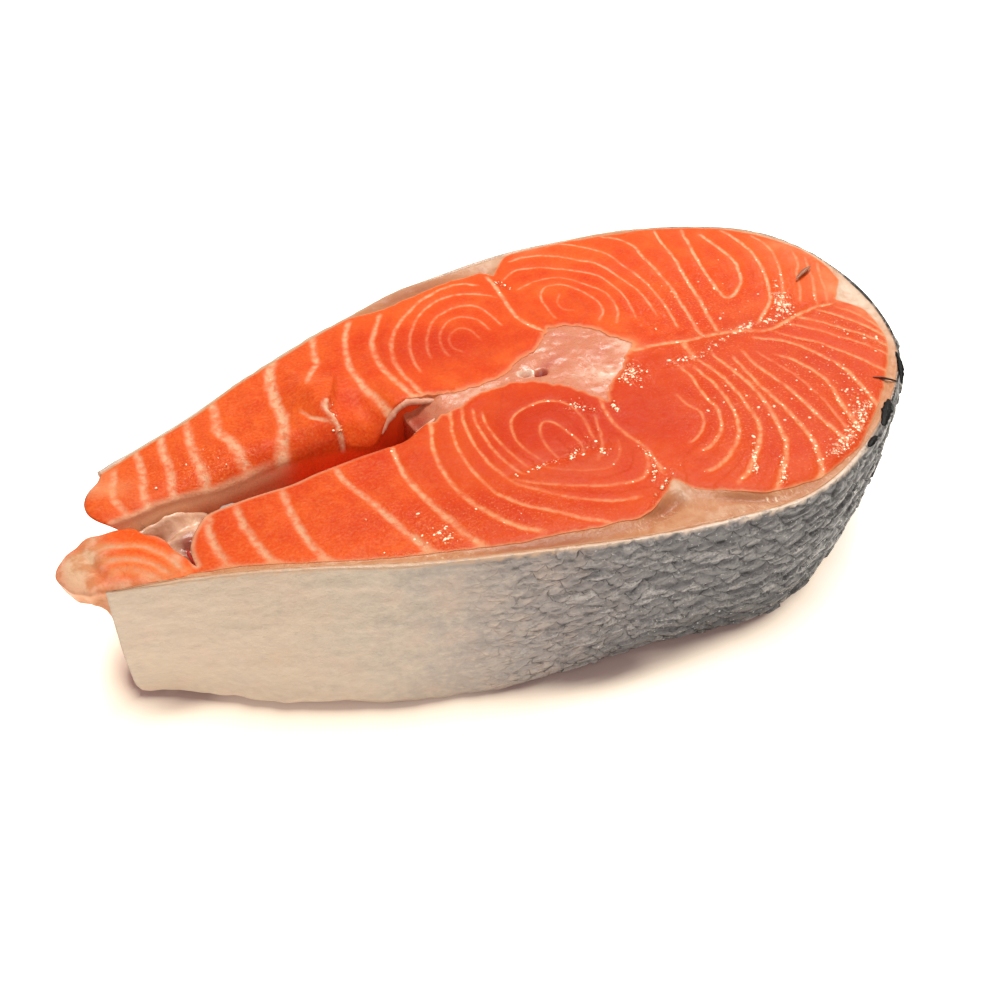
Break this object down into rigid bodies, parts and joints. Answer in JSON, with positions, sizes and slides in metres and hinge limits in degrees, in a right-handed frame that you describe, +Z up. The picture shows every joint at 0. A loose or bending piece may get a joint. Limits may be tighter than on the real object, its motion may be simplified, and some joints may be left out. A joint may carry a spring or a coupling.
{
  "type": "raw fish steak",
  "caption": "Raw salmon steak: a thick cross-section slice of the fish with skin, pale fat, ringed orange flesh, backbone and an open belly between two flaps.",
  "frame": {"origin": "middle of the steak's box, on the table that it lies on", "axes": "+X along the steak from the belly flaps to the fish's back, +Y across it to the flank that is farther away in the picture, +Z up through the slice"},
  "size_m": [0.179, 0.1, 0.0369],
  "materials": {
    "flesh": "moist raw flesh",
    "fat": "moist, pale",
    "skin": "wet silvery scales",
    "bone": "moist, rough cut",
    "lining": "moist membrane"
  },
  "bodies": {
    "root": {"flesh": "flesh", "fat_layer": "fat", "skin": "skin", "backbone": "bone", "belly_lining": "lining"}
  },
  "joints": []
}
